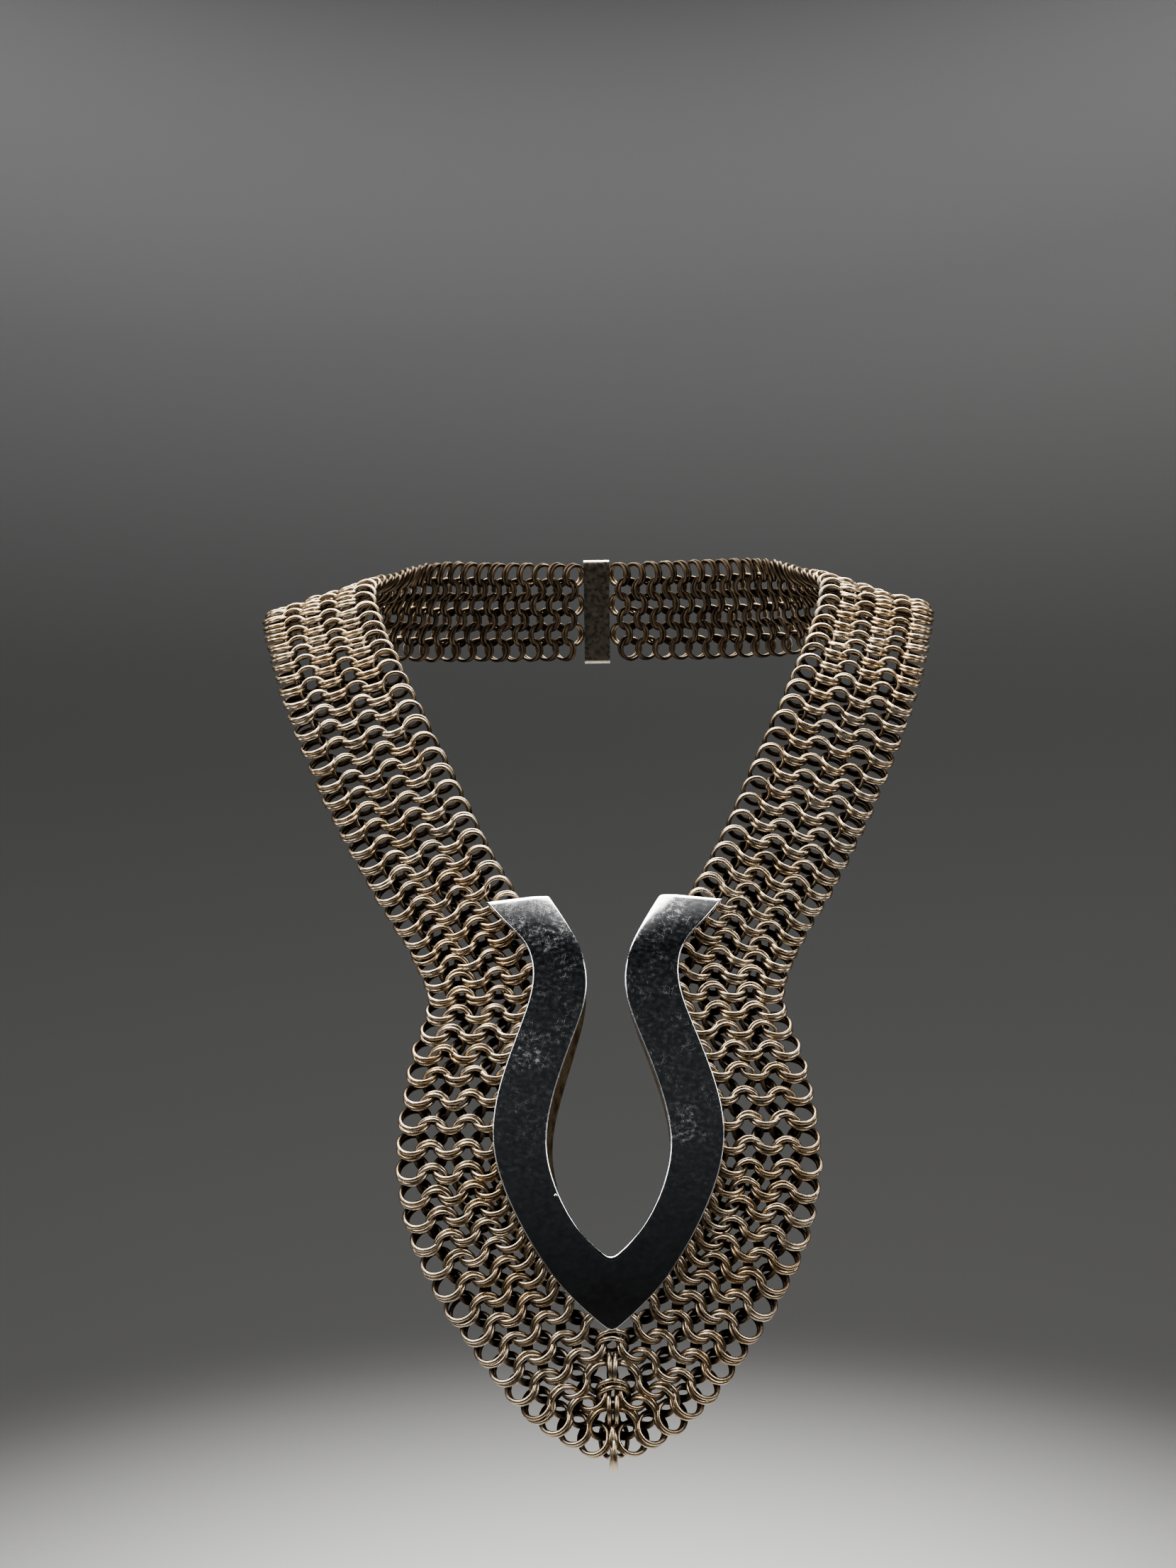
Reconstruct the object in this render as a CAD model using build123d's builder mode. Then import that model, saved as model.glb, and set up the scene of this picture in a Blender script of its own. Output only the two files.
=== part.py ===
from build123d import *
import os
from math import atan2, cos, degrees, radians, sin, sqrt

# A collar necklace of woven wire rings with an open plate pendant on its front.
# Millimetres, +Z up, +X to the right as seen from the front, the front faces -Y.
# The origin is midway between the two straps where they ride highest, on their undersides.

# Ring mesh
WIRE = 1.3  # diameter of the ring wire
RING_BORE = 6.4  # inside diameter of a ring
RING_LEAN = 42  # degrees that a ring leans out of the mesh
ROWS = 6  # rows of doubled rings in a strap
ROW_SPACING = 4.8  # from one row's middle to the next, across an unstretched strap
ROW_GROOVE = 1.0  # depth of the valley between two rows
CLEARANCE = 0.3  # gap between neighbouring pieces

# Course of the straps, measured at the middle of their width
SHOULDER_SPAN = 177  # from strap to strap where they ride highest
FRONT_REACH = 123.5  # forward from there to the bottom of the bib
FRONT_DROP = 209.2  # down from there to the bottom of the bib
BACK_REACH = 62.5  # back from there to the middle of the nape
NAPE_RISE = 3.0  # height gained from the shoulder to the nape

# Pendant
PENDANT_HEIGHT = 113
PENDANT_SPAN = 64.4  # across the two arm tips
PENDANT_RISE = 14  # up the plate, from the middle of the bib's bottom to the plate's tip
PLATE = 1.5  # thickness of the plate
PLATE_STANDOFF = 0.7  # from the nearest ridge of the mesh to the plate's back
TOP_BEND_RADIUS = 60  # the arm tops curve back towards the mesh
TOP_BEND_LENGTH = 18
TIP_BEND_RADIUS = 45
TIP_BEND_LENGTH = 9
BEND_SPARE = 4  # the bent sheet runs on this far before the outline is cut
LEFT_CORNER_ROUND = 0.9  # inner corner of the arm top at -X
RIGHT_CORNER_ROUND = 3.2  # inner corner of the arm top at +X
NOTCH_ROUND = 2.2  # bottom of the leaf-shaped opening
WALL = 1.2  # thickness of the wall behind the inner edge
WALL_DEPTH = 6.5  # how far that wall stands back at its middle
WALL_LENGTH = 54  # height of the stretch that has a wall
WALL_MIDDLE = 60  # height of its middle above the lower tip
LEFT_WALL_LEAN = 17  # degrees that the wall at -X leans into the opening

# Clasp
CLASP_WIDTH = 9
CLASP_THICKNESS = 4.2
CLASP_ROUND = 1.6
CLASP_OVERLAP = 1.0  # how far it stands past the strap's two edges

RING_RADIUS = (RING_BORE + WIRE) / 2
RING_OUTER = RING_BORE / 2 + WIRE
MESH_THICKNESS = 2 * RING_RADIUS * sin(radians(RING_LEAN)) + WIRE

# One row for each section of the right strap, from the bottom of the bib to the nape:
# the size that sets its place across, and that place as a share of half of it; its place
# forward or back and down, as shares of FRONT_REACH or BACK_REACH and of FRONT_DROP; the
# way from the inner row to the outer one; and the spread of the rows as a share of
# ROW_SPACING. The bib follows the pendant's width.
#    place       across        share  depth   down      way outwards          spread
SECTIONS = [
    ("mitre",    PENDANT_SPAN, 0.000, -1.000, -1.000, (0.00, -0.25, -0.97), 1.01),
    ("fan",      PENDANT_SPAN, 0.333, -0.985, -0.967, (0.59, -0.21, -0.78), 0.98),
    ("foot",     PENDANT_SPAN, 0.591, -0.960, -0.925, (0.85, -0.13, -0.51), 0.98),
    ("flare",    PENDANT_SPAN, 1.058, -0.895, -0.820, (0.97, -0.02, -0.25), 1.02),
    ("bulge",    PENDANT_SPAN, 1.198, -0.850, -0.754, (1.00, 0.07, -0.05), 1.01),
    ("upper",    PENDANT_SPAN, 1.146, -0.773, -0.643, (1.00, 0.07, -0.04), 1.00),
    ("waist",    PENDANT_SPAN, 0.967, -0.697, -0.549, (1.00, 0.06, -0.05), 1.06),
    ("arm_tops", PENDANT_SPAN, 1.110, -0.635, -0.486, (0.98, 0.04, -0.20), 1.09),
    ("chest",    SHOULDER_SPAN, 0.541, -0.552, -0.393, (0.97, 0.02, -0.25), 1.14),
    ("collar",   SHOULDER_SPAN, 0.704, -0.429, -0.271, (0.97, 0.00, -0.26), 1.22),
    ("neck",     SHOULDER_SPAN, 0.857, -0.296, -0.142, (0.98, 0.00, -0.22), 1.21),
    ("rise",     SHOULDER_SPAN, 0.952, -0.138, -0.058, (0.98, 0.00, -0.18), 1.18),
    ("crest",    SHOULDER_SPAN, 1.000, 0.000, 0.000, (0.97, 0.00, -0.26), 1.18),
    ("turn",     SHOULDER_SPAN, 0.904, 0.352, 0.000, (0.80, 0.12, -0.58), 1.18),
    ("back",     SHOULDER_SPAN, 0.689, 0.736, 0.000, (0.36, 0.28, -0.89), 1.16),
    ("shoulder", SHOULDER_SPAN, 0.373, 0.928, 0.000, (0.13, 0.27, -0.95), 1.12),
    ("nape",     SHOULDER_SPAN, 0.000, 1.000, 0.000, (0.00, 0.18, -0.98), 1.08),
]

# The pendant's outline at +X, from the lower tip to the arm's top: height as a share of
# PENDANT_HEIGHT, distance from the middle as a share of half PENDANT_SPAN.
OUTER_EDGE = [
    (0.000, 0.000),
    (0.090, 0.348),
    (0.248, 0.727),
    (0.346, 0.870),
    (0.446, 0.922),
    (0.568, 0.848),
    (0.704, 0.683),
    (0.804, 0.602),
    (0.880, 0.658),
    (0.943, 0.839),
    (1.000, 1.000),
]
INNER_EDGE = [
    (0.153, 0.000),
    (0.204, 0.186),
    (0.298, 0.391),
    (0.406, 0.488),
    (0.523, 0.432),
    (0.660, 0.267),
    (0.783, 0.155),
    (0.863, 0.196),
    (0.943, 0.323),
    (1.020, 0.478),
]


# Sections of the strap
def unit(vector):
    length = sqrt(sum(part * part for part in vector))
    return tuple(part / length for part in vector)


def dot(first, second):
    return sum(a * b for a, b in zip(first, second))


def section_middle(index):
    """Where the middle of a section lies. The last one stops short of the clasp."""
    place, span, share, depth, down, way, spread = SECTIONS[index]
    x = share * span / 2
    y = depth * (FRONT_REACH if depth < 0 else BACK_REACH)
    z = MESH_THICKNESS / 2 + down * FRONT_DROP
    if depth > 0:
        z += depth * NAPE_RISE
    if place == "nape":
        x = CLASP_WIDTH / 2 + CLEARANCE
    return (x, y, z)


def section_plane(index):
    """A section's plane: its x runs outwards across the rows, its y into the mesh's back."""
    middle = section_middle(index)
    outwards = unit(SECTIONS[index][5])
    if index == 0:
        along = (1, 0, 0)
    elif index == len(SECTIONS) - 1:
        along = (-1, 0, 0)
    else:
        before = section_middle(index - 1)
        after = section_middle(index + 1)
        along = tuple(b - a for a, b in zip(before, after))
    slip = dot(along, outwards)
    normal = unit(tuple(a - slip * o for a, o in zip(along, outwards)))
    return Plane(origin=middle, x_dir=outwards, z_dir=normal)


def row_places(spread):
    """The six rows' middles across a section, and the section's two edges."""
    spacing = ROW_SPACING * spread
    inner_row = -spacing * (ROWS - 1) / 2
    rows = [inner_row + spacing * row for row in range(ROWS)]
    edge = rows[-1] + RING_OUTER
    return rows, edge


def strap_section(index):
    """A flat back and a ridge for each row of rings on the front."""
    spread = SECTIONS[index][-1]
    rows, edge = row_places(spread)
    half = ROW_SPACING * spread / 2
    back = MESH_THICKNESS / 2
    front = -MESH_THICKNESS / 2
    valley = front + ROW_GROOVE
    bounds = [-edge] + [row + half for row in rows[:-1]] + [edge]
    with BuildSketch(section_plane(index)) as profile:
        with BuildLine():
            for start, end in zip(bounds, bounds[1:]):
                ThreePointArc((start, valley), ((start + end) / 2, front), (end, valley))
            Line((edge, valley), (edge, back))
            Line((edge, back), (-edge, back))
            Line((-edge, back), (-edge, valley))
        make_face()
    return profile.sketch


places = [section[0] for section in SECTIONS]
crest = places.index("crest")

with BuildPart() as mesh_right:
    loft([strap_section(number) for number in range(crest + 1)])
    loft([strap_section(number) for number in range(crest, len(SECTIONS))])
    split(bisect_by=Plane.YZ.offset(CLEARANCE / 2), keep=Keep.TOP)

with BuildPart() as mesh_left:
    mirror(mesh_right.part, about=Plane.YZ)


# Pendant, drawn on its own front plane: x across, y up along the plate, z forwards.
# The plate leans as the bib under it does, and clears the bib's highest ridges.
foot = section_middle(places.index("foot"))
waist = section_middle(places.index("waist"))
tilt = atan2(waist[1] - foot[1], waist[2] - foot[2])
up_plate = (0, sin(tilt), cos(tilt))
out_of_plate = (0, -cos(tilt), sin(tilt))

bib_bottom = section_middle(0)


def inner_ridge(index):
    """The front of the inner row in a section: its height and depth along the plate."""
    plane = section_plane(index)
    rows, edge = row_places(SECTIONS[index][-1])
    point = tuple(plane.from_local_coords((rows[0], -MESH_THICKNESS / 2, 0)))
    step = tuple(a - b for a, b in zip(point, bib_bottom))
    return dot(step, up_plate) - PENDANT_RISE, dot(step, out_of_plate)


def bend_back(height):
    """How far the plate has curved back at a height."""
    over_top = max(0, height - (PENDANT_HEIGHT - TOP_BEND_LENGTH))
    over_tip = max(0, TIP_BEND_LENGTH - height)
    return over_top**2 / (2 * TOP_BEND_RADIUS) + over_tip**2 / (2 * TIP_BEND_RADIUS)


ridges = [inner_ridge(number) for number in range(crest)]
covered = [ridge for ridge in ridges if 0 <= ridge[0] <= PENDANT_HEIGHT]
first_above = ridges[ridges.index(covered[-1]) + 1]
rise = (PENDANT_HEIGHT - covered[-1][0]) / (first_above[0] - covered[-1][0])
covered.append((PENDANT_HEIGHT, covered[-1][1] + rise * (first_above[1] - covered[-1][1])))
plate_front = max(depth + bend_back(height) for height, depth in covered) + PLATE_STANDOFF + PLATE
pendant_tip = tuple(
    base + PENDANT_RISE * up + plate_front * out
    for base, up, out in zip(bib_bottom, up_plate, out_of_plate)
)

face_plane = Plane(origin=pendant_tip, x_dir=(1, 0, 0), z_dir=out_of_plate)
side_plane = Plane(origin=pendant_tip, x_dir=up_plate, z_dir=(1, 0, 0))


def edge_points(table, side):
    """Points of an outline on one side, from its lowest to its highest."""
    half_span = PENDANT_SPAN / 2
    return [(side * across * half_span, height * PENDANT_HEIGHT) for height, across in table]


def plate_outline():
    """The open leaf shape, with the arms' inner top corners rounded."""
    with BuildSketch(face_plane) as outline:
        for side in (1, -1):
            outer = edge_points(OUTER_EDGE, side)
            inner = edge_points(INNER_EDGE, side)
            with BuildLine():
                Spline(*outer)
                Line(outer[-1], inner[-1])
                Spline(*inner)
                Line(inner[0], outer[0])
            make_face()
        inner_corners = outline.vertices().sort_by(Axis.Y)[-2:].sort_by(Axis.X)
        fillet(inner_corners.first, radius=LEFT_CORNER_ROUND)
        inner_corners = outline.vertices().sort_by(Axis.Y)[-3:].sort_by(Axis.X)
        fillet(inner_corners.last, radius=RIGHT_CORNER_ROUND)
        notch = outline.vertices().sort_by_distance(edge_points(INNER_EDGE, 1)[0]).first
        fillet(notch, radius=NOTCH_ROUND)
    return outline.sketch


def bent_side():
    """The plate seen from the side: flat, with both ends curved back."""
    low = (TIP_BEND_LENGTH, -TIP_BEND_RADIUS)
    high = (PENDANT_HEIGHT - TOP_BEND_LENGTH, -TOP_BEND_RADIUS)
    low_angle = degrees((TIP_BEND_LENGTH + BEND_SPARE) / TIP_BEND_RADIUS)
    high_angle = -degrees((TOP_BEND_LENGTH + BEND_SPARE) / TOP_BEND_RADIUS)
    with BuildSketch(side_plane) as profile:
        with BuildLine():
            tip_front = CenterArc(low, TIP_BEND_RADIUS, 90, low_angle)
            tip_back = CenterArc(low, TIP_BEND_RADIUS - PLATE, 90, low_angle)
            top_front = CenterArc(high, TOP_BEND_RADIUS, 90, high_angle)
            top_back = CenterArc(high, TOP_BEND_RADIUS - PLATE, 90, high_angle)
            Line(tip_front @ 0, top_front @ 0)
            Line(tip_back @ 0, top_back @ 0)
            Line(tip_front @ 1, tip_back @ 1)
            Line(top_front @ 1, top_back @ 1)
        make_face()
    return profile.sketch


def wall_band(side):
    """The strip of plate along one inner edge that the wall stands behind."""
    inner = edge_points(INNER_EDGE, side)
    shifted = [(across + side * WALL, height) for across, height in inner]
    with BuildSketch(face_plane) as band:
        with BuildLine():
            Spline(*inner)
            Line(inner[-1], shifted[-1])
            Spline(*shifted)
            Line(shifted[0], inner[0])
        make_face()
    return band.sketch


def wall_bow():
    """The wall seen from the side: deepest at its middle, nothing at its two ends."""
    low = WALL_MIDDLE - WALL_LENGTH / 2
    high = WALL_MIDDLE + WALL_LENGTH / 2
    seat = -PLATE / 2
    with BuildSketch(side_plane) as profile:
        with BuildLine():
            ThreePointArc((low, seat), (WALL_MIDDLE, -PLATE - WALL_DEPTH), (high, seat))
            Line((high, seat), (low, seat))
        make_face()
    return profile.sketch


def inner_wall(side, lean):
    """One wall, leaning into the opening by some degrees."""
    reach = 2 * (PLATE + WALL_DEPTH)
    back = tuple(-cos(radians(lean)) * part for part in out_of_plate)
    way = (-side * sin(radians(lean)), back[1], back[2])
    with BuildPart() as wall:
        extrude(wall_band(side), amount=reach, dir=way)
        extrude(wall_bow(), amount=PENDANT_SPAN, dir=(1, 0, 0), both=True, mode=Mode.INTERSECT)
    return wall.part


with BuildPart() as pendant:
    extrude(bent_side(), amount=PENDANT_SPAN, dir=(1, 0, 0), both=True)
    extrude(
        plate_outline(), amount=PENDANT_HEIGHT / 4, dir=out_of_plate, both=True, mode=Mode.INTERSECT
    )
    add(inner_wall(1, 0))
    add(inner_wall(-1, LEFT_WALL_LEAN))


# Clasp, a plain bar between the two ends of the mesh
nape = SECTIONS[-1]
nape_middle = section_middle(len(SECTIONS) - 1)
clasp_plane = Plane(origin=(0, nape_middle[1], nape_middle[2]), x_dir=unit(nape[5]), z_dir=(1, 0, 0))
clasp_height = 2 * (row_places(nape[-1])[1] + CLASP_OVERLAP)

with BuildPart() as clasp:
    with BuildSketch(clasp_plane):
        RectangleRounded(clasp_height, CLASP_THICKNESS, CLASP_ROUND)
    extrude(amount=CLASP_WIDTH / 2, both=True)


# Labels and files
os.makedirs("parts", exist_ok=True)

mesh_right.part.label = "mesh_right"
export_step(mesh_right.part, "parts/mesh_right.step")
mesh_left.part.label = "mesh_left"
export_step(mesh_left.part, "parts/mesh_left.step")
pendant.part.label = "pendant"
export_step(pendant.part, "parts/pendant.step")
clasp.part.label = "clasp"
export_step(clasp.part, "parts/clasp.step")
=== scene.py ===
import logging
import math
from dataclasses import dataclass, field
from enum import Enum

import bmesh
import bpy
import numpy as np
from mathutils import Matrix, Vector


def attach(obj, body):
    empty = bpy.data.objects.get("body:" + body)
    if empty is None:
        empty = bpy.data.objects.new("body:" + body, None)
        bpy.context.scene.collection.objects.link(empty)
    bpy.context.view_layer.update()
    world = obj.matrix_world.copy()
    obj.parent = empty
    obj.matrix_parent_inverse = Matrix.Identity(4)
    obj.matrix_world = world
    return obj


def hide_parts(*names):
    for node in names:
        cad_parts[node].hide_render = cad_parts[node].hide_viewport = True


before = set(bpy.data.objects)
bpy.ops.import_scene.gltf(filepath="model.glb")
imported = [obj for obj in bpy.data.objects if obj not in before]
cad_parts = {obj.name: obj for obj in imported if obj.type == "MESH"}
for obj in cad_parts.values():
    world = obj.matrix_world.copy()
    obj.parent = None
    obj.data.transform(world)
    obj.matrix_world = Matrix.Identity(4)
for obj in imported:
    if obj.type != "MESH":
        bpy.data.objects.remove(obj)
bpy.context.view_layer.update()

MM = 0.001
LOG = logging.getLogger("mesh_necklace")

Array = np.ndarray
Pair = tuple[float, float]
Triple = tuple[float, float, float]
Socket = bpy.types.NodeSocket
# Rings in groups: their middles in millimetres, 3 by 3 arrays whose columns are each ring's x, y
# and axis, and the mesh's outward direction at each ring
Rings = list[tuple[Array, Array, Array]]


class Side(Enum):
    """The two halves of the collar, seen from the front."""

    LEFT = -1
    RIGHT = 1


class Zone(Enum):
    """Stretches of a collar half, from one ring count to another."""

    BIB = (-10.0, 17.2)
    CHEST = (17.2, 41.2)
    NECK = (41.2, 80.0)


class Span(Enum):
    """The widths that sections are shares of."""

    PENDANT = "pendant"
    SHOULDERS = "shoulders"


@dataclass(frozen=True)
class Section:
    """One section of the right half of the collar.

    Lengths are shares: across of half the span that the section follows, depth of the
    front or back reach, down of the front drop, spread of the row spacing. Way runs from
    the inner row to the outer one. Count is the number of rings up from the bib's foot in
    the inner row, and count_step what each row further out adds to it.
    """

    place: str
    follows: Span
    across: float
    depth: float
    down: float
    way: Triple
    spread: float
    count: float
    count_step: float = 0.0


SECTIONS = (
    Section("mitre", Span.PENDANT, 0.0, -1.0, -1.0, (0.00, -0.25, -0.97), 1.01, -2.85, -0.914),
    Section("fan", Span.PENDANT, 0.333, -0.985, -0.967, (0.59, -0.21, -0.78), 0.98, -1.88, -0.36),
    Section("foot", Span.PENDANT, 0.591, -0.960, -0.925, (0.85, -0.13, -0.51), 0.98, -0.7),
    Section("flare", Span.PENDANT, 1.058, -0.895, -0.820, (0.97, -0.02, -0.25), 1.02, 4.3),
    Section("bulge", Span.PENDANT, 1.198, -0.850, -0.754, (1.00, 0.07, -0.05), 1.01, 7.3),
    Section("upper", Span.PENDANT, 1.146, -0.773, -0.643, (1.00, 0.07, -0.04), 1.00, 11.3),
    Section("waist", Span.PENDANT, 0.967, -0.697, -0.549, (1.00, 0.06, -0.05), 1.06, 15.3),
    Section("arm_tops", Span.PENDANT, 1.110, -0.635, -0.486, (0.98, 0.04, -0.20), 1.09, 18.3),
    Section("chest", Span.SHOULDERS, 0.541, -0.552, -0.393, (0.97, 0.02, -0.25), 1.14, 23.1),
    Section("collar", Span.SHOULDERS, 0.704, -0.429, -0.271, (0.97, 0.00, -0.26), 1.22, 28.7),
    Section("neck", Span.SHOULDERS, 0.857, -0.296, -0.142, (0.98, 0.00, -0.22), 1.21, 34.4),
    Section("rise", Span.SHOULDERS, 0.952, -0.138, -0.058, (0.98, 0.00, -0.18), 1.18, 39.4),
    Section("crest", Span.SHOULDERS, 1.0, 0.0, 0.0, (0.97, 0.00, -0.26), 1.18, 43.4),
    Section("turn", Span.SHOULDERS, 0.904, 0.352, 0.0, (0.80, 0.12, -0.58), 1.18, 48.1),
    Section("back", Span.SHOULDERS, 0.689, 0.736, 0.0, (0.36, 0.28, -0.89), 1.16, 54.0),
    Section("shoulder", Span.SHOULDERS, 0.373, 0.928, 0.0, (0.13, 0.27, -0.95), 1.12, 59.65),
    Section("nape", Span.SHOULDERS, 0.0, 1.0, 0.0, (0.00, 0.18, -0.98), 1.08, 65.45),
)


def unit(vectors: Array) -> Array:
    """Scales each vector of an array to length one.

    Args:
        vectors: An array whose last axis holds x, y and z.

    Returns:
        An array of the same shape.
    """
    return vectors / np.linalg.norm(vectors, axis=-1, keepdims=True)


def new_object(name: str, data: bpy.types.ID) -> bpy.types.Object:
    """Adds an object to the scene.

    Args:
        name: Its name.
        data: Its mesh, light or camera.

    Returns:
        The object.
    """
    item = bpy.data.objects.new(name, data)
    bpy.context.collection.objects.link(item)
    return item


@dataclass
class CollarCourse:
    """The curved sheet that the rows of rings lie in, for the right half of the collar.

    Lengths are in millimetres, and the driving ones are those of the CAD model.
    """

    pendant_span: float = 64.4
    shoulder_span: float = 177.0
    front_reach: float = 123.5
    front_drop: float = 209.2
    back_reach: float = 62.5
    nape_rise: float = 3.0
    row_spacing: float = 4.8
    half_thickness: float = 3.23
    rows: int = 6

    def middle(self, section: Section) -> Array:
        """Where the middle of a section lies, in millimetres.

        Args:
            section: A row of the section table.

        Returns:
            Its place as x, y, z.
        """
        span = self.pendant_span if section.follows is Span.PENDANT else self.shoulder_span
        reach = self.front_reach if section.depth < 0 else self.back_reach
        rise = max(0.0, section.depth) * self.nape_rise
        return np.array([
            section.across * span / 2,
            section.depth * reach,
            self.half_thickness + section.down * self.front_drop + rise,
        ])

    def knots(self, row: float) -> tuple[Array, Array]:
        """The section points that one row of rings runs through.

        Args:
            row: Row number, 0 for the inner row; fractions lie between rows.

        Returns:
            Ring counts and points, one for each section.
        """
        counts, points = [], []
        for section in SECTIONS:
            way = unit(np.array(section.way))
            off = (row - (self.rows - 1) / 2) * self.row_spacing * section.spread
            points.append(self.middle(section) + way * off)
            counts.append(section.count + section.count_step * row)
        return np.array(counts), np.array(points)

    def point(self, row: float, counts: Array) -> Array:
        """Points of a row, on a smooth curve through its section points.

        Args:
            row: Row number, as in knots.
            counts: Ring counts along the row.

        Returns:
            One point for each count, in millimetres.
        """
        knots, points = self.knots(row)
        gaps = np.diff(knots)
        slopes = np.diff(points, axis=0) / gaps[:, None]
        tangents = np.empty_like(points)
        tangents[0], tangents[-1] = slopes[0], slopes[-1]
        weight = (gaps[:-1] / (gaps[:-1] + gaps[1:]))[:, None]
        tangents[1:-1] = slopes[:-1] * (1 - weight) + slopes[1:] * weight
        index = np.searchsorted(knots, counts, side="right") - 1
        index = np.clip(index, 0, len(gaps) - 1)
        gap = gaps[index][:, None]
        t = (counts - knots[index])[:, None] / gap
        start, end = points[index], points[index + 1]
        return (
            (2 * t**3 - 3 * t**2 + 1) * start
            + (t**3 - 2 * t**2 + t) * gap * tangents[index]
            + (3 * t**2 - 2 * t**3) * end
            + (t**3 - t**2) * gap * tangents[index + 1]
        )

    def axes(self, row: float, counts: Array, follow: float) -> tuple[Array, ...]:
        """The sheet's own directions at rings of a row.

        Args:
            row: Row number.
            counts: Ring counts along the row.
            follow: 0 sets across square to the row, 1 along the line of equal counts.

        Returns:
            Arrays of unit vectors: along the row, across it and out of the front.
        """
        step = 0.25
        along = self.point(row, counts + step) - self.point(row, counts - step)
        along = unit(along)
        level = self.point(row + 0.5, counts) - self.point(row - 0.5, counts)
        square = unit(level - along * np.sum(level * along, axis=1, keepdims=True))
        out = unit(np.cross(square, along))
        across = unit(square * (1 - follow) + unit(level) * follow)
        return unit(np.cross(out, across)), across, out


@dataclass
class RingWire:
    """One ring of round wire, and how rings lie in the weave.

    The two swells make up for what the subdivision level draws in.
    """

    wire: float = 1.3
    bore: float = 6.4
    lean: float = 31.0
    pair_along: float = 0.46
    pair_depth: float = 0.35
    around: int = 12
    facets: int = 4
    wire_swell: float = 1.40
    ring_swell: float = 1.035

    @property
    def radius(self) -> float:
        """Distance from the ring's middle to the middle of its wire."""
        return (self.bore + self.wire) / 2

    def template(self) -> tuple[Array, Array, Array]:
        """Makes one low ring, which a subdivision level makes round.

        Returns:
            Vertices, faces and face corner coordinates round the ring and the wire.
        """
        mesh = bmesh.new()
        start = bmesh.ops.create_circle(
            mesh, segments=self.facets, radius=self.wire / 2 * self.wire_swell
        )
        radius = self.radius * self.ring_swell
        place = Matrix.Translation((radius, 0, 0)) @ Matrix.Rotation(math.pi / 2, 4, "X")
        bmesh.ops.transform(mesh, matrix=place, verts=start["verts"])
        bmesh.ops.spin(
            mesh, geom=mesh.verts[:] + mesh.edges[:], axis=(0, 0, 1), cent=(0, 0, 0),
            angle=math.tau, steps=self.around, use_merge=True,
        )
        bmesh.ops.recalc_face_normals(mesh, faces=mesh.faces[:])
        mesh.verts.index_update()
        points = np.array([vert.co[:] for vert in mesh.verts])
        faces = np.array([[vert.index for vert in face.verts] for face in mesh.faces])
        mesh.free()
        corners = points[faces]
        ring_angle = np.arctan2(corners[..., 1], corners[..., 0]) / math.tau
        spoke = np.hypot(corners[..., 0], corners[..., 1]) - radius
        wire_angle = np.arctan2(corners[..., 2], spoke) / math.tau
        coords = np.stack([self.unwrap(ring_angle), self.unwrap(wire_angle)], axis=-1)
        return points, faces, coords

    @staticmethod
    def unwrap(angles: Array) -> Array:
        """Keeps each face's angles together where a turn starts again.

        Args:
            angles: Shares of a turn, one row for each face.

        Returns:
            The same angles, a whole turn added where a face crosses the start.
        """
        just_over_a_turn = 1.0001
        wide = np.ptp(angles, axis=1, keepdims=True) > 0.5
        return np.where(wide & (angles < 0), angles + 1, angles) % just_over_a_turn


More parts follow.
